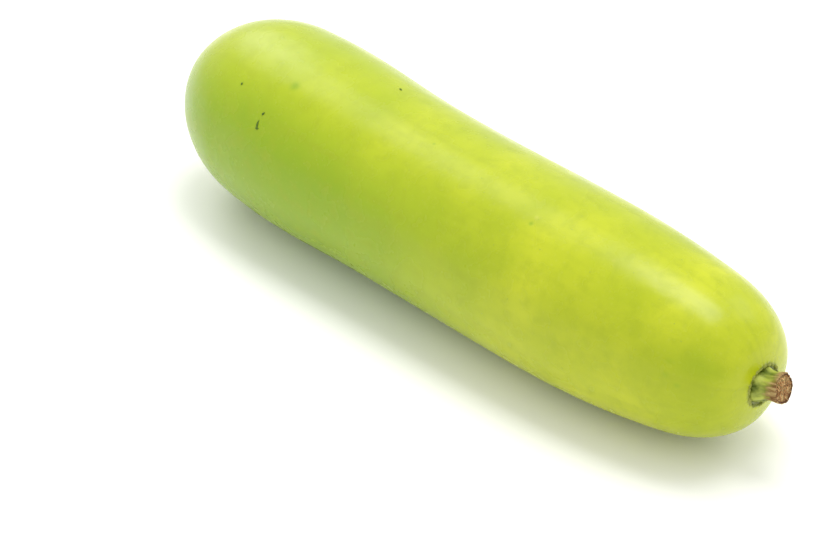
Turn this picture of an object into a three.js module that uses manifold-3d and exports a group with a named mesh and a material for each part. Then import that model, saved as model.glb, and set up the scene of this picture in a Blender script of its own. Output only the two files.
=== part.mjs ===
// A long bottle gourd, picked with a short stub of stem, lying on its side.
//
// Units are millimetres. +X runs along the fruit from the blossom end to the stem, and +Z is up.
// The origin is on the surface that the gourd lies on, under the middle of its box.
//
// The fruit is round in section and thickest near its blossom end. It bows a little sideways,
// carries faint ribs that grow stronger towards the stem, and rests on two small flats, one under
// each of its heavier stretches. The stem end is slightly flattened, and the stub of stem stands in
// a small pit in the middle of it.

import * as THREE from "three";
import { mergeVertices } from "three/addons/utils/BufferGeometryUtils.js";
import Module from "manifold-3d";

// Driving dimensions of the fruit. Distances along it start at the blossom pole.
const FRUIT_LENGTH = 330;
const BODY_RADIUS = 39.6;
const BLOSSOM_SWELL = { height: 2.9, at: 77, spread: 41 };
const SHOULDER_SWELL = { height: 2.65, at: 315, spread: 20 };
const BLOSSOM_DOME = { length: 51, power: 2 };
const STEM_DOME = { length: 124, power: 2.84 };
const BOW = 5.6; // how far the middle lies to the -Y side of the line between the poles
const STEM_DIMPLES = [{ radius: 24, depth: 1.5 }, { radius: 9.6, depth: 2.1 }];
const BLOSSOM_DIMPLES = [{ radius: 6, depth: 1.1 }];
const DIMPLE_FLOOR = 0.45; // a dimple's level floor as a share of its radius
const RIBS = { count: 5, body: 0.15, shoulder: 0.45, from: 190, to: 300, turn: 0.5 };

// How the fruit lies: two stations along it that touch, and how deep their small flats are.
const RESTS_AT = [85, 235];
const FLAT_DEPTH = 0.6;

// Driving dimensions of the stem stub, measured along its own axis from the floor that it stands on.
const STEM_LENGTH = 11.8;
const STEM_ROOT_DEPTH = 2; // extra length below the floor, trimmed to the fruit's surface
const STEM_RADII = { root: 6.6, waist: 5.5, cut: 5.7 };
const STEM_FLARE_LENGTH = 6; // height in which the root draws in to the waist
const STEM_RIDGES = { count: 5, height: 0.3, turn: 0.9 };
const STEM_TILT = 15; // degrees that the stub rises above the fruit's own axis
const CUT_SLANT = -0.1; // slope of the sawn end across the stub
const CUT_EDGE = 0.5; // width of the worn edge round the sawn end
const JOINT_GAP = 0.3; // between the stub and the fruit

// How finely the shapes are faceted.
const FRUIT_SIDES = 48;
const STEM_SIDES = 40;
const DOME_RINGS = 16;
const DOME_CROWDING = 1.25; // above 1, a dome's rings crowd towards its pole
const BODY_RINGS = 24;
const STEM_RINGS = 8;
const WELD_DISTANCE = 1e-3;

const UP = new THREE.Vector3(0, 0, 1);
const wasm = await Module();
wasm.setup();

// A smooth step from 0 to 1 as value goes from a to b.
const smoothStep = (value, a, b) => THREE.MathUtils.smoothstep(value, a, b);

// The height of a bell-shaped swell at a distance along the fruit.
function swellHeight(swell, along) {
  return swell.height * Math.exp(-(((along - swell.at) / swell.spread) ** 2));
}

// A dome's share of the full radius at a distance in from its pole.
function domeShare(dome, inwards) {
  if (inwards >= dome.length) return 1;
  return (1 - (1 - inwards / dome.length) ** dome.power) ** (1 / dome.power);
}

// The fruit's mean radius at a distance along it.
function fruitRadius(along) {
  const body = BODY_RADIUS + swellHeight(BLOSSOM_SWELL, along) + swellHeight(SHOULDER_SWELL, along);
  return body * domeShare(BLOSSOM_DOME, along) * domeShare(STEM_DOME, FRUIT_LENGTH - along);
}

// The fruit's radius at a distance along it and an angle round it, ribs included.
function ribbedRadius(along, angle) {
  const radius = fruitRadius(along);
  const grown = smoothStep(along, RIBS.from, RIBS.to);
  const height = THREE.MathUtils.lerp(RIBS.body, RIBS.shoulder, grown) * (radius / BODY_RADIUS) ** 2;
  return radius + height * Math.cos(RIBS.count * angle + RIBS.turn);
}

// The height of the fruit's axis above the surface that it lies on: a straight line, low enough for
// the underside of both resting stations to reach FLAT_DEPTH below that surface.
function axisHeight(along) {
  const straightDown = -Math.PI / 2;
  const [first, second] = RESTS_AT.map((at) => ribbedRadius(at, straightDown) - FLAT_DEPTH);
  const slope = (second - first) / (RESTS_AT[1] - RESTS_AT[0]);
  return first + slope * (along - RESTS_AT[0]);
}

// A point on the fruit's axis.
function axisPoint(along) {
  const share = along / FRUIT_LENGTH;
  return new THREE.Vector3(along, -BOW * 4 * share * (1 - share), axisHeight(along));
}

// The axis's direction, and two directions across it: sideways and upwards.
function axisFrame(along) {
  const step = 0.5;
  const tangent = axisPoint(along + step).sub(axisPoint(along - step)).normalize();
  const side = UP.clone().cross(tangent).normalize();
  return { tangent, side, up: tangent.clone().cross(side) };
}

// How far the skin at an end is drawn in, along the axis, at a radius from the middle of its dimples.
function dimpleDepth(dimples, radius) {
  const depths = dimples.map(
    (dimple) => dimple.depth * (1 - smoothStep(radius, DIMPLE_FLOOR * dimple.radius, dimple.radius)),
  );
  return depths.reduce((sum, depth) => sum + depth, 0);
}

// One ring of points round the fruit.
function fruitRing(along) {
  const { tangent, side, up } = axisFrame(along);
  const nearStem = along > FRUIT_LENGTH / 2;
  return Array.from({ length: FRUIT_SIDES }, (_, i) => {
    const angle = (2 * Math.PI * i) / FRUIT_SIDES;
    const radius = ribbedRadius(along, angle);
    const inwards = nearStem ? -dimpleDepth(STEM_DIMPLES, radius) : dimpleDepth(BLOSSOM_DIMPLES, radius);
    return axisPoint(along)
      .addScaledVector(side, radius * Math.cos(angle))
      .addScaledVector(up, radius * Math.sin(angle))
      .addScaledVector(tangent, inwards);
  });
}

// Distances in from a pole that space a dome's rings evenly round its curve.
function domeStations(dome) {
  return Array.from({ length: DOME_RINGS }, (_, i) => {
    const turn = (Math.PI / 2) * ((i + 1) / DOME_RINGS) ** DOME_CROWDING;
    return dome.length * (1 - Math.cos(turn) ** (2 / dome.power));
  });
}

// A closed skin over a row of rings of equal size, with a pole beyond each end.
function closedSkin(rings, firstPole, lastPole) {
  const sides = rings[0].length;
  const points = [firstPole, ...rings.flat(), lastPole];
  const last = points.length - 1;
  const at = (ring, side) => 1 + ring * sides + (side % sides);
  const faces = [];
  for (let side = 0; side < sides; side++) {
    faces.push(0, at(0, side + 1), at(0, side));
    faces.push(last, at(rings.length - 1, side), at(rings.length - 1, side + 1));
    for (let ring = 0; ring < rings.length - 1; ring++) {
      faces.push(at(ring, side), at(ring, side + 1), at(ring + 1, side + 1));
      faces.push(at(ring, side), at(ring + 1, side + 1), at(ring + 1, side));
    }
  }
  return new THREE.BufferGeometry().setFromPoints(points).setIndex(faces);
}

// A closed geometry as a solid that can be cut and joined.
function toSolid(geometry) {
  const bare = geometry.index ? geometry.toNonIndexed() : geometry.clone();
  bare.deleteAttribute("normal");
  bare.deleteAttribute("uv");
  const merged = mergeVertices(bare, WELD_DISTANCE);
  const vertProperties = new Float32Array(merged.attributes.position.array);
  const triVerts = new Uint32Array(merged.index.array);
  return new wasm.Manifold(new wasm.Mesh({ numProp: 3, vertProperties, triVerts }));
}

// A solid as a geometry for a mesh.
function toGeometry(solid) {
  const { vertProperties, triVerts } = solid.getMesh();
  const geometry = new THREE.BufferGeometry();
  geometry.setAttribute("position", new THREE.BufferAttribute(vertProperties, 3));
  geometry.setIndex(new THREE.BufferAttribute(triVerts, 1));
  geometry.computeVertexNormals();
  return geometry;
}

// The whole fruit before its underside is cut flat.
function fruitSkin() {
  const blossom = domeStations(BLOSSOM_DOME);
  const stem = domeStations(STEM_DOME).map((inwards) => FRUIT_LENGTH - inwards).reverse();
  const bodyStart = BLOSSOM_DOME.length;
  const bodyStep = (FRUIT_LENGTH - STEM_DOME.length - bodyStart) / BODY_RINGS;
  const body = Array.from({ length: BODY_RINGS - 1 }, (_, i) => bodyStart + bodyStep * (i + 1));
  const rings = [...blossom, ...body, ...stem].map(fruitRing);
  const blossomFloor = dimpleDepth(BLOSSOM_DIMPLES, 0);
  const blossomPole = axisPoint(0).addScaledVector(axisFrame(0).tangent, blossomFloor);
  return closedSkin(rings, blossomPole, stemSeat().point);
}

// The middle of the floor that the stem stands on, and the fruit's directions there.
function stemSeat() {
  const { tangent, side } = axisFrame(FRUIT_LENGTH);
  const point = axisPoint(FRUIT_LENGTH).addScaledVector(tangent, -dimpleDepth(STEM_DIMPLES, 0));
  return { point, tangent, side };
}

// The fruit, with everything below the surface that it lies on cut away.
function makeFruit() {
  const slab = new THREE.BoxGeometry(2 * FRUIT_LENGTH, 4 * BODY_RADIUS, BODY_RADIUS);
  slab.translate(FRUIT_LENGTH / 2, 0, -BODY_RADIUS / 2);
  return toSolid(fruitSkin()).subtract(toSolid(slab));
}

// The stub's mean radius at a height above the floor that it stands on.
function stemRadius(height) {
  const flare = 1 - smoothStep(height, 0, STEM_FLARE_LENGTH);
  const lip = smoothStep(height, STEM_FLARE_LENGTH, STEM_LENGTH);
  const { root, waist, cut } = STEM_RADII;
  return waist + (root - waist) * flare + (cut - waist) * lip;
}

// The stem stub: a ridged stalk with a flared root and a slightly slanting sawn end.
function makeStem(fruit) {
  const seat = stemSeat();
  const lift = THREE.MathUtils.degToRad(-STEM_TILT);
  const direction = seat.tangent.clone().applyAxisAngle(seat.side, lift);
  const side = seat.side;
  const up = direction.clone().cross(side);
  const place = (height, radius, angle) => {
    const rise = height >= STEM_LENGTH - CUT_EDGE ? CUT_SLANT * radius * Math.cos(angle) : 0;
    return seat.point
      .clone()
      .addScaledVector(direction, height + rise)
      .addScaledVector(side, radius * Math.cos(angle))
      .addScaledVector(up, radius * Math.sin(angle));
  };
  const ring = (height, inset = 0) =>
    Array.from({ length: STEM_SIDES }, (_, i) => {
      const angle = (2 * Math.PI * i) / STEM_SIDES;
      const ridge = STEM_RIDGES.height * Math.cos(STEM_RIDGES.count * angle + STEM_RIDGES.turn);
      return place(height, stemRadius(height) + ridge - inset, angle);
    });
  const ringStep = (STEM_LENGTH - 2 * CUT_EDGE) / STEM_RINGS;
  const heights = Array.from({ length: STEM_RINGS + 1 }, (_, i) => ringStep * i);
  const rings = [-STEM_ROOT_DEPTH, ...heights, STEM_LENGTH - CUT_EDGE].map((height) => ring(height));
  rings.push(ring(STEM_LENGTH, CUT_EDGE));
  const stalk = closedSkin(rings, place(-STEM_ROOT_DEPTH, 0, 0), place(STEM_LENGTH, 0, 0));
  const gap = seat.tangent.clone().multiplyScalar(JOINT_GAP);
  return toSolid(stalk).subtract(fruit.translate(gap.toArray()));
}

// The whole gourd: a waxy yellow-green fruit, and a stub that is green at its root and dry at its end.
function makeGourd() {
  const fruit = makeFruit();
  const stem = makeStem(fruit);
  const rind = new THREE.MeshStandardMaterial({ color: 0xaec63a, roughness: 0.42, metalness: 0 });
  const stalk = new THREE.MeshStandardMaterial({ color: 0x8f8a3c, roughness: 0.75, metalness: 0 });
  const gourd = new THREE.Group();
  for (const [name, solid, material] of [["fruit", fruit, rind], ["stem", stem, stalk]]) {
    const mesh = new THREE.Mesh(toGeometry(solid), material);
    mesh.name = name;
    gourd.add(mesh);
  }
  const middle = new THREE.Box3().setFromObject(gourd).getCenter(new THREE.Vector3());
  gourd.position.set(-middle.x, -middle.y, 0);
  return gourd;
}

export default makeGourd();
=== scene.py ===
"""A long bottle gourd with a short stub of stem, lying on a pale table.

Lengths are in millimetres unless a name ends in _m or _M. The fruit's axis runs along +X, from
the blossom end to the stem, and +Z is up. Angles round the axis start at the +Y side and rise
towards the top.
"""

import math

import bpy
from mathutils import Matrix, Vector
from mathutils.bvhtree import BVHTree


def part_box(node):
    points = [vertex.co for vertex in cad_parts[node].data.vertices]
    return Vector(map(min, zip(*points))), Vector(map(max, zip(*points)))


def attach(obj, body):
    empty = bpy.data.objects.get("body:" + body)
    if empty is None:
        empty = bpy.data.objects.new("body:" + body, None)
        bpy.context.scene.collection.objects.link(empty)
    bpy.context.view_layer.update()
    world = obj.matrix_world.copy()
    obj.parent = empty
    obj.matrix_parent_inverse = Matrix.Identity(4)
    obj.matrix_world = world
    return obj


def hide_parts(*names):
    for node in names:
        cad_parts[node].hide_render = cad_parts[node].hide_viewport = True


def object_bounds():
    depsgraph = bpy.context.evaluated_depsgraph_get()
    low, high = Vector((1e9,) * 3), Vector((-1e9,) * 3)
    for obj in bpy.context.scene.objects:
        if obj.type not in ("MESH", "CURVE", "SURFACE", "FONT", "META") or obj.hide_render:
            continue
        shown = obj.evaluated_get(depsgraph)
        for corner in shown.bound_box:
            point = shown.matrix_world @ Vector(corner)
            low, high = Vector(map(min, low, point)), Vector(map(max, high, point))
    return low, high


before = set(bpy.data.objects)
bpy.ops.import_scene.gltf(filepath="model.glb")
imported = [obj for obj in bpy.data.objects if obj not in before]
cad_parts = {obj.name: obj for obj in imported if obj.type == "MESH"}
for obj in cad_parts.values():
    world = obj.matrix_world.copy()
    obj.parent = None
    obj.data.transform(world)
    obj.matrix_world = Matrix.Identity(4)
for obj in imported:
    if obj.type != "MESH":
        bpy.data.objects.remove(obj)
cad_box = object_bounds()

MM = 0.001
TAU = 2 * math.pi
WELD_DISTANCE_M = 1e-6

# The fruit.
FRUIT_LENGTH = 330.0
BODY_RADIUS = 39.6
BLOSSOM_SWELL = {"height": 2.9, "at": 77.0, "spread": 41.0}
SHOULDER_SWELL = {"height": 2.65, "at": 315.0, "spread": 20.0}
BLOSSOM_DOME = {"length": 51.0, "power": 2.0}
STEM_DOME = {"length": 124.0, "power": 2.84}
STEM_DIMPLES = ({"radius": 24.0, "depth": 1.5}, {"radius": 9.6, "depth": 2.1})
BLOSSOM_DIMPLES = ({"radius": 6.0, "depth": 1.1},)
DIMPLE_FLOOR = 0.45  # a dimple's level floor as a share of its radius
BOW = 5.6
RIB_COUNT = 5
RIB_TURN = 0.5
RIB_HEIGHTS = {"body": 0.15, "shoulder": 0.45}
RIBS_GROW = (190.0, 300.0)
RESTS_AT = (85.0, 235.0)
FLAT_DEPTH = 0.6

# The stub of stem, measured from the floor of the pit that it stands in.
STEM_LENGTH = 11.7
STEM_RADII = {"root": 7.2, "waist": 5.5, "cut": 6.1}
STEM_FLARE_LENGTH = 6.5
STEM_TILT = math.radians(15)
STEM_RIDGES = 5
CUT_SLANT = -0.1
CUT_DEPTH = 0.6  # how far the cut's middle has shrunk in from its rim
CUT_EDGE = 0.45
CUT_DISC = {"lift": 0.05, "inset": 0.75, "sides": 48}  # where the fibres of the cut are rooted

# The dark ring round the stub's root.
RING_RADIUS = 8.5
RING_WAVE = 0.25  # how far the ring strays from round
RING_SINK = 0.3
RING_POINTS = 72

# The scar that the flower left.
SCAR_RADIUS = 2.75
SCAR_SINK = 0.5

# Healed scratches: along, angle in degrees, length round the fruit, lean along it, and bend.
SCRATCHES = (
    (80, 150, 4.0, 1.0, -0.5),
    (80, 152, -0.5, 2.0, 0.0),
    (80, 143, -1.5, 1.0, 0.0),
    (60, 135, 1.0, 0.5, 0.0),
    (120, 80, 0.5, 2.0, 0.2),
    (145, 250, 3.5, 1.0, 0.5),
    (235, 20, 0.5, 6.0, 0.0),
    (100, 15, 2.0, 1.0, 0.0),
    (295, 325, 3.0, 1.0, 0.5),
)
SCRATCH_POINTS = 5
SCRATCH_LIFT = 0.02


# ---------------------------------------------------------------- small tools

def linear(code):
    """An sRGB hex colour as linear red, green, blue and alpha."""
    shares = [int(code[i:i + 2], 16) / 255 for i in (1, 3, 5)]
    return (*[s / 12.92 if s <= 0.04045 else ((s + 0.055) / 1.055) ** 2.4 for s in shares], 1.0)


def add(tree, kind, inputs=None, **settings):
    """Adds a node, sets its properties, and gives its inputs values, other nodes or their outputs."""
    node = tree.nodes.new(kind)
    for name, value in settings.items():
        setattr(node, name, value)
    for socket, source in (inputs or {}).items():
        if isinstance(source, bpy.types.Node):
            source = source.outputs[0]
        if isinstance(source, bpy.types.NodeSocket):
            tree.links.new(source, node.inputs[socket])
        else:
            node.inputs[socket].default_value = source
    return node


def calc(tree, operation, *values, **settings):
    """A number worked out from others, which may be values, nodes or outputs."""
    return add(tree, "ShaderNodeMath", dict(enumerate(values)), operation=operation, **settings)


def vector_calc(tree, operation, *values):
    """A vector or a length worked out from vectors, which may be values, nodes or outputs."""
    return add(tree, "ShaderNodeVectorMath", dict(enumerate(values)), operation=operation)


def scaled(tree, vector, scale):
    """A vector made longer or shorter."""
    return add(tree, "ShaderNodeVectorMath", {0: vector, "Scale": scale}, operation="SCALE")


def remap(tree, value, source, target=(0.0, 1.0), eased=False):
    """Carries a number over from one range to another, and holds it at both ends."""
    return add(tree, "ShaderNodeMapRange", {
        "Value": value, "From Min": source[0], "From Max": source[1],
        "To Min": target[0], "To Max": target[1]},
        interpolation_type="SMOOTHSTEP" if eased else "LINEAR")


def mix_colour(tree, factor, base, tint):
    """A colour with a tint mixed into it."""
    return add(tree, "ShaderNodeMix", {"Factor": factor, "A": base, "B": tint},
               data_type="RGBA").outputs["Result"]


def noise(tree, place, size, detail=2.0, roughness=0.5):
    """Soft random patches of about a size, in the unit of the place that they are read from."""
    return add(tree, "ShaderNodeTexNoise", {
        "Vector": place, "Scale": 1 / size, "Detail": detail, "Roughness": roughness}).outputs["Fac"]


def smooth_step(value, low, high):
    """0 below low, 1 above high, and a smooth rise between them."""
    share = min(max((value - low) / (high - low), 0.0), 1.0)
    return share * share * (3 - 2 * share)


def new_tree(name, sockets):
    """A geometry node tree with these named inputs, and an input and an output for its geometry."""
    tree = bpy.data.node_groups.new(name, "GeometryNodeTree")
    tree.interface.new_socket("Geometry", in_out="INPUT", socket_type="NodeSocketGeometry")
    for socket, kind in sockets.items():
        tree.interface.new_socket(socket, in_out="INPUT", socket_type="NodeSocket" + kind)
    tree.interface.new_socket("Geometry", in_out="OUTPUT", socket_type="NodeSocketGeometry")
    return tree


def close_tree(tree, geometry, material):
    """Ends a tree: instances made real, smooth faces, one material."""
    real = add(tree, "GeometryNodeRealizeInstances", {"Geometry": geometry})
    smooth = add(tree, "GeometryNodeSetShadeSmooth", {"Geometry": real})
    painted = add(tree, "GeometryNodeSetMaterial", {"Geometry": smooth, "Material": material})
    add(tree, "NodeGroupOutput", {"Geometry": painted})


def start_mesh(vertices, edges=(), faces=()):
    """A mesh for a node tree to begin with."""
    mesh = bpy.data.meshes.new("start")
    mesh.from_pydata([Vector(v) for v in vertices], edges, faces)
    return mesh


def chain(count, first=0, closed=False):
    """The edges that join a run of points one after another."""
    edges = [(first + i, first + i + 1) for i in range(count - 1)]
    return edges + [(first + count - 1, first)] if closed else edges


def grow(name, start, tree, values):
    """A plain mesh object made by a node tree from a starting mesh."""
    host = bpy.data.objects.new(name + "_start", start)
    bpy.context.scene.collection.objects.link(host)
    modifier = host.modifiers.new(tree.name, "NODES")
    modifier.node_group = tree
    for socket in tree.interface.items_tree:
        if socket.in_out == "INPUT" and socket.name in values:
            modifier[socket.identifier] = values[socket.name]
    bpy.context.view_layer.update()
    evaluated = host.evaluated_get(bpy.context.evaluated_depsgraph_get())
    mesh = bpy.data.meshes.new_from_object(evaluated)
    mesh.name = name
    if mesh.materials[0] is None:  # the starting mesh's own slot, which stays empty
        mesh.materials.pop(index=0)
    bpy.data.objects.remove(host)
    piece = bpy.data.objects.new(name, mesh)
    bpy.context.scene.collection.objects.link(piece)
    return piece


# ---------------------------------------------------------------- the gourd's own shape

def dome_share(dome, inwards):
    """A dome's share of the full radius at a distance in from its pole."""
    if inwards >= dome["length"]:
        return 1.0
    return (1 - (1 - inwards / dome["length"]) ** dome["power"]) ** (1 / dome["power"])


def fruit_radius(along):
    """The fruit's radius at a distance along it, between its ribs and their valleys."""
    radius = BODY_RADIUS
    for swell in (BLOSSOM_SWELL, SHOULDER_SWELL):
        radius += swell["height"] * math.exp(-(((along - swell["at"]) / swell["spread"]) ** 2))
    return radius * dome_share(BLOSSOM_DOME, along) * dome_share(STEM_DOME, FRUIT_LENGTH - along)


def dimple_depth(dimples, radius):
    """How far the skin is drawn in at a radius from the middle of an end."""
    return sum(
        d["depth"] * (1 - smooth_step(radius, DIMPLE_FLOOR * d["radius"], d["radius"]))
        for d in dimples)


def rest_heights():
    """The axis's height over each of the two places that touch the table."""
    for at in RESTS_AT:
        grown = smooth_step(at, *RIBS_GROW)
        height = RIB_HEIGHTS["body"] + grown * (RIB_HEIGHTS["shoulder"] - RIB_HEIGHTS["body"])
        radius = fruit_radius(at)
        rib = height * (radius / BODY_RADIUS) ** 2 * math.cos(RIB_COUNT * -math.pi / 2 + RIB_TURN)
        yield radius + rib - FLAT_DEPTH


FIRST_HEIGHT, SECOND_HEIGHT = rest_heights()
AXIS_SLOPE = (SECOND_HEIGHT - FIRST_HEIGHT) / (RESTS_AT[1] - RESTS_AT[0])
AXIS_START = FIRST_HEIGHT - AXIS_SLOPE * RESTS_AT[0]


def axis_point(along):
    """A point on the fruit's bowed axis."""
    share = along / FRUIT_LENGTH
    return Vector((along, -4 * BOW * share * (1 - share), AXIS_START + AXIS_SLOPE * along))


def axis_frame(along):
    """The axis's direction, and the directions across it: sideways and upwards."""
    lean = -4 * BOW / FRUIT_LENGTH * (1 - 2 * along / FRUIT_LENGTH)
    tangent = Vector((1, lean, AXIS_SLOPE)).normalized()
    side = Vector((0, 0, 1)).cross(tangent).normalized()
    return tangent, side, tangent.cross(side)


def skin_point(along, angle, height=0.0):
    """A point on the fruit's skin, or a height above it, before its small unevenness."""
    _, side, up = axis_frame(along)
    radius = fruit_radius(along) + height
    return axis_point(along) + side * (radius * math.cos(angle)) + up * (radius * math.sin(angle))


def fruit_meridian(steps=90):
    """The fruit's outline from pole to pole as points (along, 0, radius)."""
    ends = {}
    for name, dome in (("blossom", BLOSSOM_DOME), ("stem", STEM_DOME)):
        turns = [math.pi / 2 * (i / steps) ** 1.5 for i in range(steps + 1)]
        ends[name] = [dome["length"] * (1 - math.cos(t) ** (2 / dome["power"])) for t in turns]
    first, last = BLOSSOM_DOME["length"], FRUIT_LENGTH - STEM_DOME["length"]
    body = [first + (last - first) * i / steps for i in range(1, steps)]
    stations = ends["blossom"] + body + [FRUIT_LENGTH - d for d in reversed(ends["stem"])]
    points = []
    for along in stations:
        radius = max(fruit_radius(along), 0.0)
        if along < FRUIT_LENGTH / 2:
            points.append((along + dimple_depth(BLOSSOM_DIMPLES, radius), 0, radius))
        else:
            points.append((along - dimple_depth(STEM_DIMPLES, radius), 0, radius))
    return points


def stem_meridian(steps=40):
    """The stub's outline, from under its root, up its side and over the cut to the middle."""
    root_depth = 1.2  # the root's underside is hidden in the pit
    points = [(-root_depth, 0, 0), (-root_depth, 0, 3.0), (-root_depth, 0, 5.6), (-0.6, 0, 6.5)]
    side_length = STEM_LENGTH - CUT_EDGE
    for i in range(steps + 1):
        height = side_length * i / steps
        flare = 1 - smooth_step(height, 0, STEM_FLARE_LENGTH)
        lip = smooth_step(height, STEM_FLARE_LENGTH, STEM_LENGTH)
        radius = STEM_RADII["waist"] + (STEM_RADII["root"] - STEM_RADII["waist"]) * flare
        points.append((height, 0, radius + (STEM_RADII["cut"] - STEM_RADII["waist"]) * lip))
    edge_steps = 6
    for i in range(1, edge_steps + 1):
        turn = math.pi / 2 * i / edge_steps
        inset = CUT_EDGE * (1 - math.cos(turn))
        points.append((side_length + CUT_EDGE * math.sin(turn), 0, STEM_RADII["cut"] - inset))
    inner_radius = STEM_RADII["cut"] - CUT_EDGE
    cap_steps = 24
    for i in range(1, cap_steps + 1):
        radius = inner_radius * (1 - i / cap_steps)
        sunk = CUT_DEPTH * smooth_step(inner_radius - radius, 0, 0.7)
        points.append((STEM_LENGTH - sunk, 0, radius))
    return points


def cut_disc():
    """A thin fan over the cut, as vertices in metres, no edges, and faces."""
    height = STEM_LENGTH - CUT_DEPTH + CUT_DISC["lift"]
    radius = STEM_RADII["cut"] - CUT_DISC["inset"]
    sides = CUT_DISC["sides"]
    vertices = [(height * MM, 0, 0)]
    for i in range(sides):
        turn = TAU * i / sides
        vertices.append((height * MM, radius * math.cos(turn) * MM, radius * math.sin(turn) * MM))
    return vertices, (), [(0, 1 + i, 1 + (i + 1) % sides) for i in range(sides)]


# ---------------------------------------------------------------- materials

def new_material(name):
    """An empty node material, with its shader and output in place."""
    material = bpy.data.materials.new(name)
    material.use_nodes = True
    tree = material.node_tree
    tree.nodes.clear()
    shader = add(tree, "ShaderNodeBsdfPrincipled")
    add(tree, "ShaderNodeOutputMaterial", {"Surface": shader})
    return material, tree, shader


PAINTED_SHADE_TURN = math.radians(205)  # the side of the rind where a deeper green is painted as shade

# Marks on the rind: along, angle in degrees, radius, strength.
DEEP_BLOTCHES = (
    (85, 120, 3.5, 1.0),
    (55, 95, 1.0, 0.5),
    (70, 100, 1.0, 0.5),
    (225, 120, 1.5, 0.9),
    (315, 150, 12.0, 0.35),
    (310, 170, 2.0, 0.5),
    (305, 165, 2.5, 0.4),
    (305, 155, 2.5, 0.35),
    (160, 105, 1.0, 0.8),
    (60, 135, 2.0, 0.5),
    (70, 150, 9.0, 0.4),
    (130, 200, 5.0, 0.5),
    (215, 60, 3.0, 0.6),
    (260, 300, 5.0, 0.5),
    (50, 20, 3.0, 0.6),
)
PALE_FLECKS = (
    (265, 115, 1.5, 0.4),
    (225, 115, 1.5, 0.5),
    (120, 80, 1.5, 0.6),
    (155, 235, 2.0, 0.5),
    (280, 30, 1.5, 0.5),
)


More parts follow.
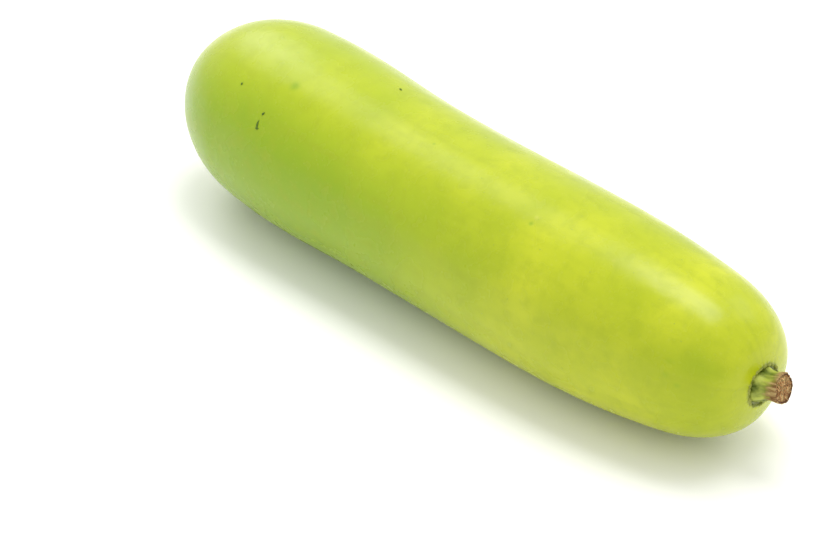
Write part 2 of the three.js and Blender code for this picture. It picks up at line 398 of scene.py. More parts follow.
def make_rind():
    """Fresh bottle gourd rind: a tough, satin skin with a thin bloom of wax.

    It gives the eye a soft, broad shine over yellow-green that shifts in large soft clouds, faint
    lengthwise streaks, fine pale freckles, painted shade as a deeper green low on the blossom half,
    and a dark green ring in the pit round the stem, deepened by painted shade.
    """
    material, tree, shader = new_material("bottle gourd rind")
    place = add(tree, "ShaderNodeTexCoord").outputs["Object"]
    skin = add(tree, "ShaderNodeAttribute", attribute_name="skin").outputs["Vector"]
    girth = add(tree, "ShaderNodeAttribute", attribute_name="girth").outputs["Fac"]
    along = add(tree, "ShaderNodeSeparateXYZ", {0: skin}).outputs["X"]

    # Large soft clouds, about 38 mm across.
    clouds = noise(tree, place, 38 * MM, 3.0)
    colour = add(tree, "ShaderNodeValToRGB", {"Fac": clouds})
    colour.color_ramp.elements[0].position = 0.34
    colour.color_ramp.elements[0].color = linear("#A3B10A")
    colour.color_ramp.elements[1].position = 0.66
    colour.color_ramp.elements[1].color = linear("#BBC31E")
    colour = colour.outputs["Color"]

    # The blossom half is deeper and greener.
    deepening = remap(tree, along, (60.0, 290.0), (0.5, 0.0), eased=True)
    colour = mix_colour(tree, deepening, colour, linear("#98AE00"))

    # Painted shade: a deeper green low on the -Y side of the blossom half, though not at its pole.
    painted_shade_along = remap(tree, along, (105.0, 260.0), (0.8, 0.0), eased=True)
    shade = (0, math.cos(PAINTED_SHADE_TURN), math.sin(PAINTED_SHADE_TURN))
    facing = vector_calc(tree, "DOT_PRODUCT", skin, shade).outputs["Value"]
    shaded = remap(tree, facing, (0.0, 0.85 * BODY_RADIUS), eased=True)
    off_pole = remap(tree, girth, (4.0, 34.0), eased=True)
    lower = calc(tree, "MULTIPLY", shaded, off_pole)
    painted_shade = calc(tree, "MULTIPLY", painted_shade_along, lower)
    # The painted shade is mixed in as a deeper green.
    colour = mix_colour(tree, painted_shade, colour, linear("#7EA200"))

    # Streaks that run with the fruit, about 5 mm wide and 50 mm long.
    long_skin = vector_calc(tree, "MULTIPLY", skin, (1 / 50, 1 / 5, 1 / 5))
    streaks = noise(tree, long_skin, 1.0)
    streak = remap(tree, streaks, (0.5, 0.75), (0.0, 0.22))
    colour = mix_colour(tree, streak, colour, linear("#929F0E"))

    # Mottling, about 6 mm across.
    mottles = noise(tree, place, 6 * MM, 5.0, 0.68)
    mottle = remap(tree, mottles, (0.46, 0.66), (0.0, 0.38))
    colour = mix_colour(tree, mottle, colour, linear("#96A504"))

    # Faint pale freckles, about 1 mm wide and 2.4 mm apart.
    cells = add(tree, "ShaderNodeTexVoronoi", {"Vector": place, "Scale": 1 / (2.4 * MM)})
    freckle = remap(tree, cells.outputs["Distance"], (0.3, 0.1), (0.0, 0.08))
    colour = mix_colour(tree, freckle, colour, linear("#C8CD6E"))

    # Single marks, each with a soft, slightly ragged edge.
    for marks, tint in ((DEEP_BLOTCHES, "#88A400"), (PALE_FLECKS, "#BEC051")):
        for at, angle, radius, strength in marks:
            turn = math.radians(angle)
            middle = (at, BODY_RADIUS * math.cos(turn), BODY_RADIUS * math.sin(turn))
            gap = vector_calc(tree, "DISTANCE", skin, middle).outputs["Value"]
            ragged = calc(tree, "MULTIPLY_ADD", mottles, radius, gap)
            mask = remap(tree, ragged, (0.5 * radius, 1.5 * radius), (strength, 0.0), eased=True)
            colour = mix_colour(tree, mask, colour, linear(tint))

    # The pit round the stem: dark green, partly its own and partly painted shade, in beads about 1.4 mm
    # across.
    beads = noise(tree, place, 1.4 * MM)
    uneven_girth = calc(tree, "MULTIPLY_ADD", beads, 1.6, girth)
    in_pit = remap(tree, uneven_girth, (8.9, 11.0), (0.85, 0.0), eased=True)
    stem_half = calc(tree, "GREATER_THAN", along, FRUIT_LENGTH / 2)
    pit_tint_and_shade = calc(tree, "MULTIPLY", in_pit, stem_half)
    colour = mix_colour(tree, pit_tint_and_shade, colour, linear("#66701A"))
    tree.links.new(colour, shader.inputs["Base Color"])

    # Wax lies unevenly, in patches about 12 mm across, so the shine does too.
    wax = noise(tree, place, 12 * MM, 3.0)
    roughness = remap(tree, wax, (0.3, 0.7), (0.22, 0.31))
    tree.links.new(roughness.outputs["Result"], shader.inputs["Roughness"])

    # Soft ripples 9 mm across, and skin cells at 0.9 mm, coarser than life so that they show.
    ripples = noise(tree, place, 9 * MM)
    soft = add(tree, "ShaderNodeBump", {
        "Height": ripples, "Strength": 0.35, "Distance": 0.4 * MM})
    grain = noise(tree, place, 0.9 * MM)
    fine = add(tree, "ShaderNodeBump", {
        "Height": grain, "Strength": 0.25, "Distance": 0.06 * MM, "Normal": soft})
    dotted = add(tree, "ShaderNodeBump", {
        "Height": freckle, "Strength": 0.4, "Distance": 0.05 * MM, "Normal": fine})
    tree.links.new(dotted.outputs["Normal"], shader.inputs["Normal"])
    shader.inputs["IOR"].default_value = 1.40
    shader.inputs["Subsurface Weight"].default_value = 0.08
    shader.inputs["Subsurface Radius"].default_value = (1.0, 1.2, 0.3)
    shader.inputs["Subsurface Scale"].default_value = 2.5 * MM
    return material


def make_stalk():
    """Gourd stalk a few days after cutting: ribbed green stem that dries to brown from the cut.

    It gives the eye pale green ridges and deep green furrows at the root, and tan to dark brown,
    finely fibrous bark near the cut.
    """
    material, tree, shader = new_material("drying gourd stalk")
    place = add(tree, "ShaderNodeTexCoord").outputs["Object"]
    skin = add(tree, "ShaderNodeAttribute", attribute_name="skin").outputs["Vector"]
    relief = add(tree, "ShaderNodeAttribute", attribute_name="relief").outputs["Fac"]
    parts = add(tree, "ShaderNodeSeparateXYZ", {0: skin})

    furrow = remap(tree, relief, (-0.35, 0.3))
    green = mix_colour(tree, furrow, linear("#55660A"), linear("#AEB84A"))

    # Fibres, about 1.1 mm wide and 7 mm long, coarser than life so that they show.
    fibre_place = vector_calc(tree, "MULTIPLY", skin, (1 / 7, 1 / 1.1, 1 / 1.1))
    fibres = noise(tree, fibre_place, 1.0, 3.0)
    strand = remap(tree, fibres, (0.36, 0.64))
    bark = mix_colour(tree, strand, linear("#6F4921"), linear("#BAA069"))

    # Dryness rises towards the cut and faster along some fibres; the brown also reaches further on the
    # lower side.
    patches = noise(tree, place, 2.6 * MM, 3.0)
    low_side = calc(tree, "MULTIPLY_ADD", parts.outputs["Z"], -0.45, parts.outputs["X"])
    patchy = calc(tree, "MULTIPLY_ADD", patches, 5.0, low_side)
    dryness = calc(tree, "MULTIPLY_ADD", fibres, 7.0, patchy)
    dry = remap(tree, dryness, (10.8, 15.5), eased=True)
    colour = mix_colour(tree, dry, green, bark)

    # The cut itself is dark between its fibres.
    girth = add(tree, "ShaderNodeAttribute", attribute_name="girth").outputs["Fac"]
    ragged_girth = calc(tree, "MULTIPLY_ADD", patches, 0.8, girth)
    cut_radius = STEM_RADII["cut"]
    beyond = calc(tree, "GREATER_THAN", parts.outputs["X"], STEM_LENGTH - 1.1 * CUT_EDGE)
    inside = remap(tree, ragged_girth, (cut_radius + 0.25, cut_radius - 0.15))
    cut_away = calc(tree, "MULTIPLY", inside, beyond)
    colour = mix_colour(tree, cut_away, colour, linear("#52300F"))
    tree.links.new(colour, shader.inputs["Base Color"])

    roughness = remap(tree, dry, (0.0, 1.0), (0.5, 0.82))
    tree.links.new(roughness.outputs["Result"], shader.inputs["Roughness"])
    bumps = add(tree, "ShaderNodeBump", {
        "Height": fibres, "Strength": 0.7, "Distance": 0.25 * MM})
    tree.links.new(bumps.outputs["Normal"], shader.inputs["Normal"])
    shader.inputs["IOR"].default_value = 1.45
    return material


def make_toned(name, roughness, shades):
    """Dull plant tissue in three shades, which follow a fine grain and any tone that a part has."""
    material, tree, shader = new_material(name)
    place = add(tree, "ShaderNodeTexCoord").outputs["Object"]
    tone = add(tree, "ShaderNodeAttribute", attribute_name="tone").outputs["Fac"]
    grain = noise(tree, place, 0.5 * MM, 3.0)
    shift = calc(tree, "MULTIPLY_ADD", grain, 1.4, -0.45)
    mixed = calc(tree, "MULTIPLY_ADD", tone, 0.6, shift)
    colour = add(tree, "ShaderNodeValToRGB", {"Fac": mixed})
    ramp = colour.color_ramp
    ramp.elements[0].color, ramp.elements[1].color = linear(shades[0]), linear(shades[2])
    ramp.elements.new(0.5).color = linear(shades[1])
    tree.links.new(colour.outputs["Color"], shader.inputs["Base Color"])
    bumps = add(tree, "ShaderNodeBump", {
        "Height": grain, "Strength": 0.6, "Distance": 0.12 * MM})
    tree.links.new(bumps.outputs["Normal"], shader.inputs["Normal"])
    shader.inputs["Roughness"].default_value = roughness
    shader.inputs["IOR"].default_value = 1.45
    return material


# ---------------------------------------------------------------- node trees for the shapes

def turned_skin():
    """Turns an outline about a bowed axis, with ribs, soft unevenness and a lumpy collar."""
    tree = new_tree("turned skin", {
        "Rings": "Int", "Sides": "Int", "Crowding": "Float", "Length": "Float", "Bow": "Float",
        "Axis start": "Float", "Axis slope": "Float", "Rib count": "Float", "Rib turn": "Float",
        "Rib height at start": "Float", "Rib height at end": "Float", "Ribs from": "Float",
        "Ribs to": "Float", "Full radius": "Float", "Unevenness": "Float", "Uneven size": "Float",
        "Uneven stretch": "Float", "Collar radius": "Float", "Collar width": "Float",
        "Collar lumps": "Float", "Lump size": "Float", "Table height": "Float", "Material": "Material"})
    given = add(tree, "NodeGroupInput").outputs
    outline = add(tree, "GeometryNodeMeshToCurve", {"Mesh": given["Geometry"]})
    grid = add(tree, "GeometryNodeMeshGrid", {
        "Size X": 1.0, "Size Y": 1.0, "Vertices X": given["Rings"], "Vertices Y": given["Sides"]})
    flat = vector_calc(tree, "ADD", add(tree, "GeometryNodeInputPosition"), (0.5, 0.5, 0))
    shares = add(tree, "ShaderNodeSeparateXYZ", {0: flat})

    # Rings crowd towards the end of the outline, where the detail is.
    left = calc(tree, "SUBTRACT", 1.0, shares.outputs["X"], use_clamp=True)
    crowded = calc(tree, "POWER", left, given["Crowding"])
    share = calc(tree, "SUBTRACT", 1.0, crowded)
    sample = add(tree, "GeometryNodeSampleCurve", {"Curves": outline, "Factor": share}, mode="FACTOR")
    drawn = add(tree, "ShaderNodeSeparateXYZ", {0: sample.outputs["Position"]})
    along, radius = drawn.outputs["X"], drawn.outputs["Z"]

    turn = calc(tree, "MULTIPLY", shares.outputs["Y"], TAU)
    cosine = calc(tree, "COSINE", turn)
    sine = calc(tree, "SINE", turn)

    fullness = calc(tree, "DIVIDE", radius, given["Full radius"])
    fade = calc(tree, "POWER", fullness, 2.0)
    phase = calc(tree, "MULTIPLY_ADD", turn, given["Rib count"], given["Rib turn"])
    wave = calc(tree, "COSINE", phase)
    height = remap(
        tree, along, (given["Ribs from"], given["Ribs to"]),
        (given["Rib height at start"], given["Rib height at end"]), eased=True)
    rib = calc(tree, "MULTIPLY", wave, height)

    # Unevenness that may be drawn out along the axis.
    across = calc(tree, "MULTIPLY", radius, cosine)
    upwards = calc(tree, "MULTIPLY", radius, sine)
    drawn_out = calc(tree, "DIVIDE", along, given["Uneven stretch"])
    straight = add(tree, "ShaderNodeCombineXYZ", {0: drawn_out, 1: across, 2: upwards})
    density = calc(tree, "DIVIDE", 1.0, given["Uneven size"])
    waves = add(tree, "ShaderNodeTexNoise", {"Vector": straight, "Scale": density, "Detail": 2.0})
    centred = calc(tree, "SUBTRACT", waves.outputs["Fac"], 0.5)
    uneven = calc(tree, "MULTIPLY", centred, given["Unevenness"])
    relief = calc(tree, "ADD", rib, uneven)
    swollen = calc(tree, "MULTIPLY_ADD", relief, fade, radius)

    # The collar: lumps that stand along the axis, only on the half that ends the outline.
    off_collar = calc(tree, "SUBTRACT", radius, given["Collar radius"])
    in_widths = calc(tree, "DIVIDE", off_collar, given["Collar width"])
    squared = calc(tree, "MULTIPLY", in_widths, in_widths)
    fall = calc(tree, "MULTIPLY", squared, -1.0)
    bell = calc(tree, "EXPONENT", fall)
    halfway = calc(tree, "MULTIPLY", given["Length"], 0.5)
    last_half = calc(tree, "GREATER_THAN", along, halfway)
    lump_density = calc(tree, "DIVIDE", 1.0, given["Lump size"])
    lumps = add(tree, "ShaderNodeTexNoise", {"Vector": straight, "Scale": lump_density, "Detail": 2.0})
    lump = calc(tree, "SUBTRACT", lumps.outputs["Fac"], 0.5)
    lump_here = calc(tree, "MULTIPLY", bell, last_half)
    lump_height = calc(tree, "MULTIPLY", lump, given["Collar lumps"])
    moved = calc(tree, "MULTIPLY_ADD", lump_height, lump_here, along)

    # The bowed axis, and the directions across it.
    span = calc(tree, "DIVIDE", moved, given["Length"])
    rest = calc(tree, "SUBTRACT", 1.0, span)
    arch = calc(tree, "MULTIPLY", span, rest)
    full_bow = calc(tree, "MULTIPLY", given["Bow"], -4.0)
    bowed = calc(tree, "MULTIPLY", arch, full_bow)
    raised = calc(tree, "MULTIPLY_ADD", moved, given["Axis slope"], given["Axis start"])
    middle = add(tree, "ShaderNodeCombineXYZ", {0: moved, 1: bowed, 2: raised})
    steepest = calc(tree, "DIVIDE", full_bow, given["Length"])
    balance = calc(tree, "SUBTRACT", rest, span)
    lean = calc(tree, "MULTIPLY", steepest, balance)
    forward = add(tree, "ShaderNodeCombineXYZ", {0: 1.0, 1: lean, 2: given["Axis slope"]})
    tangent = vector_calc(tree, "NORMALIZE", forward)
    sideways = vector_calc(tree, "CROSS_PRODUCT", (0, 0, 1), tangent)
    side = vector_calc(tree, "NORMALIZE", sideways)
    up = vector_calc(tree, "CROSS_PRODUCT", tangent, side)

    side_reach = calc(tree, "MULTIPLY", swollen, cosine)
    up_reach = calc(tree, "MULTIPLY", swollen, sine)
    to_side = scaled(tree, side, side_reach)
    to_top = scaled(tree, up, up_reach)
    half_way = vector_calc(tree, "ADD", middle, to_side)
    reached = vector_calc(tree, "ADD", half_way, to_top)

    # Nothing reaches below the table.
    corner = add(tree, "ShaderNodeSeparateXYZ", {0: reached})
    kept = calc(tree, "MAXIMUM", corner.outputs["Z"], given["Table height"])
    lying = add(tree, "ShaderNodeCombineXYZ", {0: corner.outputs["X"], 1: corner.outputs["Y"], 2: kept})
    in_metres = scaled(tree, lying, MM)

    # Patterns on the skin read where each point is along, round and out from the axis.
    round_across = calc(tree, "MULTIPLY", cosine, given["Full radius"])
    round_up = calc(tree, "MULTIPLY", sine, given["Full radius"])
    skin = add(tree, "ShaderNodeCombineXYZ", {0: along, 1: round_across, 2: round_up})
    geometry = grid.outputs["Mesh"]
    for name, kind, value in (("skin", "FLOAT_VECTOR", skin), ("girth", "FLOAT", radius),
                              ("relief", "FLOAT", relief)):
        geometry = add(tree, "GeometryNodeStoreNamedAttribute", {
            "Geometry": geometry, "Name": name, "Value": value},
            data_type=kind, domain="POINT").outputs["Geometry"]
    shaped = add(tree, "GeometryNodeSetPosition", {"Geometry": geometry, "Position": in_metres})
    closed = add(tree, "GeometryNodeMergeByDistance", {"Geometry": shaped, "Distance": WELD_DISTANCE_M})
    outwards = add(tree, "GeometryNodeFlipFaces", {"Mesh": closed})
    close_tree(tree, outwards, given["Material"])
    return tree


def random_vector(tree, given, least, most):
    """A random vector between two others."""
    return add(tree, "FunctionNodeRandomValue", {
        "Min": least, "Max": most, "Seed": given["Seed"]}, data_type="FLOAT_VECTOR")


def turn_more(tree, rotation, spin):
    """A rotation with another one added in its own axes."""
    return add(tree, "FunctionNodeRotateRotation", {
        "Rotation": rotation, "Rotate By": spin}, rotation_space="LOCAL")


def put_on_points(tree, given, points, shape, rotation):
    """Puts a shape on each point, at a random size between the least one and its own."""
    size = add(tree, "FunctionNodeRandomValue", {
        2: given["Least size"], 3: 1.0, "Seed": given["Seed"]}, data_type="FLOAT")
    return add(tree, "GeometryNodeInstanceOnPoints", {
        "Points": points, "Instance": shape, "Rotation": rotation, "Scale": size.outputs[1]})


def tone_each(tree, given, instances):
    """Gives each instance a random tone, which its material reads."""
    tone = add(tree, "FunctionNodeRandomValue", {"Seed": given["Seed"]}, data_type="FLOAT")
    return add(tree, "GeometryNodeStoreNamedAttribute", {
        "Geometry": instances, "Name": "tone", "Value": tone.outputs[1]},
        data_type="FLOAT", domain="INSTANCE")


def scattered_grains():
    """Scatters small, flattened grains over a surface, each lying on it and turned at random."""
    tree = new_tree("scattered grains", {
        "Per square metre": "Float", "Least gap": "Float", "Lowest": "Float",
        "Grain length": "Float", "Grain width": "Float", "Grain height": "Float",
        "Least size": "Float", "Facets": "Int", "Seed": "Int", "Material": "Material"})
    given = add(tree, "NodeGroupInput").outputs
    heights = add(tree, "ShaderNodeSeparateXYZ", {0: add(tree, "GeometryNodeInputPosition")})
    clear = add(tree, "FunctionNodeCompare", {0: heights.outputs["Z"], 1: given["Lowest"]},
                operation="GREATER_THAN")
    spread = add(tree, "GeometryNodeDistributePointsOnFaces", {
        "Mesh": given["Geometry"], "Selection": clear, "Distance Min": given["Least gap"],
        "Density Max": given["Per square metre"], "Seed": given["Seed"]}, distribute_method="POISSON")
    ball = add(tree, "GeometryNodeMeshIcoSphere", {"Radius": 0.5, "Subdivisions": given["Facets"]})
    form = add(tree, "ShaderNodeCombineXYZ", {
        0: given["Grain length"], 1: given["Grain width"], 2: given["Grain height"]})
    grain = add(tree, "GeometryNodeTransform", {"Geometry": ball, "Scale": form})
    spin = random_vector(tree, given, (0, 0, 0), (0, 0, TAU))
    turned = turn_more(tree, spread.outputs["Rotation"], spin)
    placed = put_on_points(tree, given, spread.outputs["Points"], grain, turned)
    close_tree(tree, placed, given["Material"])
    return tree


def curled_fibres():
    """Scatters short curled fibres over a surface, each lying on it, turned and shaded at random."""
    tree = new_tree("curled fibres", {
        "Per square metre": "Float", "Least gap": "Float", "Curl radius": "Float", "Sweep": "Float",
        "Thickness": "Float", "Least size": "Float", "Tilt": "Float", "Seed": "Int",
        "Material": "Material"})
    given = add(tree, "NodeGroupInput").outputs
    spread = add(tree, "GeometryNodeDistributePointsOnFaces", {
        "Mesh": given["Geometry"], "Distance Min": given["Least gap"],
        "Density Max": given["Per square metre"], "Seed": given["Seed"]}, distribute_method="POISSON")
    curl = add(tree, "GeometryNodeCurveArc", {
        "Resolution": 10, "Radius": given["Curl radius"], "Sweep Angle": given["Sweep"]})
    half = calc(tree, "MULTIPLY", given["Thickness"], 0.5)
    section = add(tree, "GeometryNodeCurvePrimitiveCircle", {"Resolution": 7, "Radius": half})
    fibre = add(tree, "GeometryNodeCurveToMesh", {
        "Curve": curl, "Profile Curve": section, "Fill Caps": True})
    downwards = calc(tree, "MULTIPLY", given["Tilt"], -1.0)
    least = add(tree, "ShaderNodeCombineXYZ", {0: downwards, 1: downwards, 2: 0.0})
    most = add(tree, "ShaderNodeCombineXYZ", {0: given["Tilt"], 1: given["Tilt"], 2: TAU})
    spin = random_vector(tree, given, least, most)
    turned = turn_more(tree, spread.outputs["Rotation"], spin)
    placed = put_on_points(tree, given, spread.outputs["Points"], fibre, turned)
    close_tree(tree, tone_each(tree, given, placed), given["Material"])
    return tree


def beaded_ring():
    """Sets uneven beads along a closed line, each a little off it."""
    tree = new_tree("beaded ring", {
        "Beads": "Int", "Bead size": "Float", "Least size": "Float", "Stretch": "Float",
        "Stray": "Float", "Seed": "Int", "Material": "Material"})
    given = add(tree, "NodeGroupInput").outputs
    line = add(tree, "GeometryNodeMeshToCurve", {"Mesh": given["Geometry"]})
    spaced = add(tree, "GeometryNodeCurveToPoints", {
        "Curve": line, "Count": given["Beads"]}, mode="COUNT")
    backwards = calc(tree, "MULTIPLY", given["Stray"], -1.0)
    least = add(tree, "ShaderNodeCombineXYZ", {0: backwards, 1: backwards, 2: backwards})
    most = add(tree, "ShaderNodeCombineXYZ", {0: given["Stray"], 1: given["Stray"], 2: given["Stray"]})
    stray = random_vector(tree, given, least, most)
    moved = add(tree, "GeometryNodeSetPosition", {
        "Geometry": spaced.outputs["Points"], "Offset": stray})
    half = calc(tree, "MULTIPLY", given["Bead size"], 0.5)
    ball = add(tree, "GeometryNodeMeshIcoSphere", {"Radius": half, "Subdivisions": 3})
    form = add(tree, "ShaderNodeCombineXYZ", {0: 1.0, 1: 1.0, 2: given["Stretch"]})
    bead = add(tree, "GeometryNodeTransform", {"Geometry": ball, "Scale": form})
    placed = put_on_points(tree, given, moved, bead, spaced.outputs["Rotation"])
    close_tree(tree, tone_each(tree, given, placed), given["Material"])
    return tree


def tapered_cord():
    """Runs a round section along each line, thickest in its middle and pointed at its ends."""
    tree = new_tree("tapered cord", {"Thickness": "Float", "Material": "Material"})
    given = add(tree, "NodeGroupInput").outputs
    line = add(tree, "GeometryNodeMeshToCurve", {"Mesh": given["Geometry"]})
    share = add(tree, "GeometryNodeSplineParameter").outputs["Factor"]
    half_turn = calc(tree, "MULTIPLY", share, math.pi)
    bulge = calc(tree, "SINE", half_turn)
    thick = calc(tree, "MULTIPLY_ADD", bulge, 0.9, 0.1)
    section = add(tree, "GeometryNodeCurvePrimitiveCircle", {"Resolution": 8})
    half = calc(tree, "MULTIPLY", given["Thickness"], 0.5)
    scale = calc(tree, "MULTIPLY", thick, half)
    cord = add(tree, "GeometryNodeCurveToMesh", {
        "Curve": line, "Profile Curve": section, "Scale": scale, "Fill Caps": True})
    close_tree(tree, cord, given["Material"])
    return tree


# ---------------------------------------------------------------- the pieces

rind = make_rind()
stalk = make_stalk()
skin_tree = turned_skin()

# A straight axis with no bow and no collar, well clear of the table. The length is only nominal.
STRAIGHT = {
    "Crowding": 1.0, "Length": 1000.0, "Bow": 0.0, "Axis start": 0.0, "Axis slope": 0.0,
    "Collar radius": 1.0, "Collar width": 1.0, "Collar lumps": 0.0, "Lump size": 1.0,
    "Table height": -100.0}

outline = fruit_meridian()
fruit = grow("fruit_rind", start_mesh(outline, chain(len(outline))), skin_tree, {
    "Rings": 380, "Sides": 241, "Crowding": 1.35, "Length": FRUIT_LENGTH, "Bow": BOW,
    "Axis start": AXIS_START, "Axis slope": AXIS_SLOPE, "Rib count": float(RIB_COUNT),
    "Rib turn": RIB_TURN, "Rib height at start": RIB_HEIGHTS["body"],
    "Rib height at end": RIB_HEIGHTS["shoulder"], "Ribs from": RIBS_GROW[0], "Ribs to": RIBS_GROW[1],
    "Full radius": BODY_RADIUS, "Unevenness": 0.65, "Uneven size": 34.0, "Uneven stretch": 1.8,
    "Collar radius": 9.0, "Collar width": 1.6, "Collar lumps": 0.9, "Lump size": 1.6,
    "Table height": 0.0, "Material": rind})

# The fruit goes where the frame has it: over the same middle, and on the same table.
corners = [Vector(v.co) for v in fruit.data.vertices]
low = Vector([min(c[i] for c in corners) for i in range(3)])
high = Vector([max(c[i] for c in corners) for i in range(3)])
cad_low, cad_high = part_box("fruit")
fit = min(1.0, *[(cad_high[i] - cad_low[i]) / (high[i] - low[i]) for i in range(3)])
middle, target = (low + high) / 2, (cad_low + cad_high) / 2
target.z = cad_low.z + fit * (middle.z - low.z)
place_all = Matrix.Translation(target) @ Matrix.Scale(fit, 4) @ Matrix.Translation(-middle)
fruit.data.transform(place_all)
fruit_surface = BVHTree.FromPolygons(
    [v.co for v in fruit.data.vertices], [p.vertices for p in fruit.data.polygons])


def stand_on(point, forward, side):
    """The matrix that stands a turned piece on a point, with its axis forward."""
    up = forward.cross(side)
    rows = [(forward[i], side[i], up[i], point[i] * MM) for i in range(3)]
    return place_all @ Matrix((*rows, (0, 0, 0, 1)))


def on_skin(along, degrees, height):
    """A point a height above the fruit's finished skin, in metres, where the fruit lies."""
    clear = 10.0  # a start well outside the skin
    start = place_all @ (skin_point(along, math.radians(degrees), clear) * MM)
    inwards = (place_all @ (axis_point(along) * MM) - start).normalized()
    return fruit_surface.ray_cast(start, inwards)[0] - inwards * (height * MM)


stem_tangent, stem_side, stem_up = axis_frame(FRUIT_LENGTH)
stem_direction = stem_tangent.copy()
stem_direction.rotate(Matrix.Rotation(-STEM_TILT, 3, stem_side))
seat = axis_point(FRUIT_LENGTH) - stem_tangent * dimple_depth(STEM_DIMPLES, 0)
stem_stand = stand_on(seat, stem_direction, stem_side)

outline = stem_meridian()
stem = grow("stem_stub", start_mesh(outline, chain(len(outline))), skin_tree, {
    **STRAIGHT, "Rings": 190, "Sides": 181, "Rib count": float(STEM_RIDGES), "Rib turn": 0.9,
    "Rib height at start": 0.35, "Rib height at end": 0.15, "Ribs from": 0.0, "Ribs to": STEM_LENGTH,
    "Full radius": STEM_RADII["waist"], "Unevenness": 1.1, "Uneven size": 1.5, "Uneven stretch": 6.0,
    "Material": stalk})


def slant_cut(mesh):
    """Leans the cut end of the stub."""
    slanted_from = (STEM_LENGTH - 3 * CUT_EDGE) * MM
    for vertex in mesh.vertices:
        share = smooth_step(vertex.co.x, slanted_from, STEM_LENGTH * MM)
        vertex.co.x += CUT_SLANT * share * vertex.co.y


slant_cut(stem.data)
stem.data.transform(stem_stand)

# Curled fibres stand out of the cut.
disc = start_mesh(*cut_disc())
slant_cut(disc)
fibres = grow("cut_fibres", disc, curled_fibres(), {
    "Per square metre": 6.0e6, "Least gap": 1.12 * MM, "Curl radius": 0.58 * MM,
    "Sweep": math.radians(175), "Thickness": 0.54 * MM, "Least size": 0.6, "Tilt": 0.5, "Seed": 4,
    "Material": make_toned("dry stem fibre", 0.8, ("#4C2B10", "#9A6936", "#DFB67C"))})
fibres.data.transform(stem_stand)

# A ring of dark beads in the groove round the root of the stub.
ring = []
for i in range(RING_POINTS):
    turn = TAU * i / RING_POINTS
    reach = RING_RADIUS + RING_WAVE * math.sin(3 * turn + 1)
    clear = 5  # a start well above the pit
    above_pit = axis_point(FRUIT_LENGTH) + stem_tangent * clear
    above_pit += stem_side * (reach * math.cos(turn)) + stem_up * (reach * math.sin(turn))
    skin_here = fruit_surface.ray_cast(place_all @ (above_pit * MM), -stem_tangent)[0]
    ring.append(skin_here - stem_tangent * (RING_SINK * MM))
collar = grow("root_collar", start_mesh(ring, chain(RING_POINTS, closed=True)), beaded_ring(), {
    "Beads": 48, "Bead size": 1.8 * MM, "Least size": 0.5, "Stretch": 1.6, "Stray": 0.22 * MM,
    "Seed": 7, "Material": make_toned("corky collar", 0.7, ("#586216", "#788226", "#9C9E46"))})

# The blossom's scar: a small corky button in the dimple at the far end.
blossom_tangent, blossom_side, _ = axis_frame(0)
blossom_seat = axis_point(0) + blossom_tangent * (dimple_depth(BLOSSOM_DIMPLES, 0) + SCAR_SINK)
outline = [(0, 0, 0), (0, 0, 1.6), (0.05, 0, 2.5), (0.35, 0, SCAR_RADIUS), (0.62, 0, 2.45),
           (0.7, 0, 1.9), (0.55, 0, 1.2), (0.6, 0, 0.6), (0.75, 0, 0)]
scar = grow("blossom_scar", start_mesh(outline, chain(len(outline))), skin_tree, {
    **STRAIGHT, "Rings": 60, "Sides": 97, "Rib count": 5.0, "Rib turn": 0.4,
    "Rib height at start": 0.3, "Rib height at end": 0.3, "Ribs from": 0.0, "Ribs to": 1.0,
    "Full radius": SCAR_RADIUS, "Unevenness": 0.7, "Uneven size": 0.6, "Uneven stretch": 1.0,
    "Material": make_toned("blossom scar cork", 0.85, ("#4A3418", "#7A5C34", "#A58A5A"))})
scar.data.transform(stand_on(blossom_seat, -blossom_tangent, -blossom_side))

# Healed scratches, sunk for half their thickness.
points, edges = [], []
for along, degrees, around, lean, bend in SCRATCHES:
    edges += chain(SCRATCH_POINTS, len(points))
    for i in range(SCRATCH_POINTS):
        share = i / (SCRATCH_POINTS - 1) - 0.5
        bent = along + lean * share + bend * (1 - 4 * share ** 2)
        turned = degrees + math.degrees(around * share / BODY_RADIUS)
        points.append(on_skin(bent, turned, SCRATCH_LIFT))
scratches = grow("healed_scratches", start_mesh(points, edges), tapered_cord(), {
    "Thickness": 1.0 * MM,
    "Material": make_toned("healed scratch", 0.75, ("#3F5808", "#506C10", "#66801E"))})

# Small raised pores all over the rind.
pores = grow("rind_pores", fruit.data.copy(), scattered_grains(), {
    "Per square metre": 3600.0, "Least gap": 6 * MM, "Lowest": 1 * MM, "Grain length": 0.75 * MM,
    "Grain width": 0.5 * MM, "Grain height": 0.12 * MM, "Least size": 0.45, "Facets": 2, "Seed": 11,
    "Material": make_toned("rind pore", 0.5, ("#90A41D", "#9DAD28", "#B6BE51"))})

for piece, node, slot in (
        (fruit, "fruit", "rind"), (scar, "fruit", "rind"), (scratches, "fruit", "rind"),
        (pores, "fruit", "rind"), (collar, "fruit", "rind"), (stem, "stem", "stalk"),
        (fibres, "stem", "stalk")):
    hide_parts(node)
    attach(piece, "root")

# ---------------------------------------------------------------- table, light and camera

TABLE_REACH_M = 12.0
table_top = cad_box[0].z
table_corners = [(x * TABLE_REACH_M, y * TABLE_REACH_M, table_top)
                 for x, y in ((-1, -1), (1, -1), (1, 1), (-1, 1))]
floor_mesh = bpy.data.meshes.new("table_top")
floor_mesh.from_pydata(table_corners, [], [(0, 1, 2, 3)])
floor = bpy.data.objects.new("table_top", floor_mesh)
bpy.context.scene.collection.objects.link(floor)

# Matt white laminate: a plain, even surface that shows only the gourd's soft shadow.
white, _, white_shader = new_material("matt white laminate")
white_shader.inputs["Base Color"].default_value = linear("#F6F6F4")
white_shader.inputs["Roughness"].default_value = 0.75
floor_mesh.materials.append(white)

centre = (cad_box[0] + cad_box[1]) / 2

# An even white dome.
world = bpy.data.worlds.new("studio")
world.use_nodes = True
background = world.node_tree.nodes["Background"]
background.inputs["Color"].default_value = (1, 1, 1, 1)
background.inputs["Strength"].default_value = 1.0
bpy.context.scene.world = world


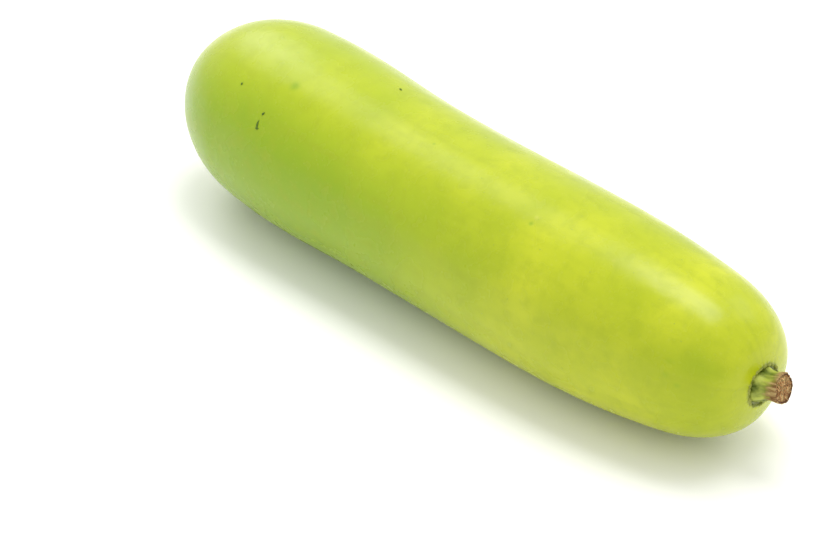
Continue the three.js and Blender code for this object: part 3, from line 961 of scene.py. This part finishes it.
def softbox(name, towards, long_m, wide_m, power):
    """A soft light that faces the gourd from one direction, its long side running with the gourd."""
    lamp = bpy.data.lights.new(name, "AREA")
    lamp.shape = "RECTANGLE"
    lamp.size, lamp.size_y = long_m, wide_m
    lamp.energy = power
    holder = bpy.data.objects.new(name, lamp)
    back = Vector(towards).normalized()
    along = (Vector((1, 0, 0)) - back * back.x).normalized()
    holder.location = centre + back * SOFTBOX_DISTANCE_M
    holder.rotation_mode = "QUATERNION"
    axes = Matrix((along, back.cross(along), back)).transposed()
    holder.rotation_quaternion = axes.to_quaternion()
    bpy.context.scene.collection.objects.link(holder)


# Each softbox: the direction that it stands in, its length and width in metres, its power in watts.
SOFTBOX_DISTANCE_M = 1.3
SOFTBOXES = (
    ("overhead_softbox", (0.02, 0.14, 0.99), 0.9, 0.44, 7.4),
    ("middle_softbox", (-0.68, 0.09, 0.73), 0.7, 0.5, 1.9),
    ("blossom_softbox", (-0.82, 0.27, 0.52), 0.5, 0.5, 1.6),
    ("back_softbox", (0.28, 0.66, 0.70), 0.6, 0.6, 1.6),
)
for settings in SOFTBOXES:
    softbox(*settings)

# The camera stands off past the stem end and above, and aims to one side of the gourd's middle.
AZIMUTH, ELEVATION = math.radians(47.74), math.radians(31.63)
CAMERA_DISTANCE_M = 1.192
AIM_ASIDE_M, AIM_BELOW_M = 0.0230, 0.0213
FOCAL_LENGTH, SENSOR_WIDTH = 126.1, 36.0
NEAR_M, FAR_M = 0.05, 60.0
back = Vector((
    math.sin(AZIMUTH) * math.cos(ELEVATION), -math.cos(AZIMUTH) * math.cos(ELEVATION),
    math.sin(ELEVATION)))
right = Vector((math.cos(AZIMUTH), math.sin(AZIMUTH), 0))
above = back.cross(right)
aim = centre - right * AIM_ASIDE_M - above * AIM_BELOW_M
camera_data = bpy.data.cameras.new("camera")
camera_data.lens = FOCAL_LENGTH
camera_data.sensor_width = SENSOR_WIDTH
camera_data.clip_start, camera_data.clip_end = NEAR_M, FAR_M
camera = bpy.data.objects.new("camera", camera_data)
camera.location = aim + back * CAMERA_DISTANCE_M
camera.rotation_mode = "QUATERNION"
camera.rotation_quaternion = back.to_track_quat("Z", "Y")
bpy.context.scene.collection.objects.link(camera)
bpy.context.scene.camera = camera
bpy.context.scene.view_settings.view_transform = "Standard"
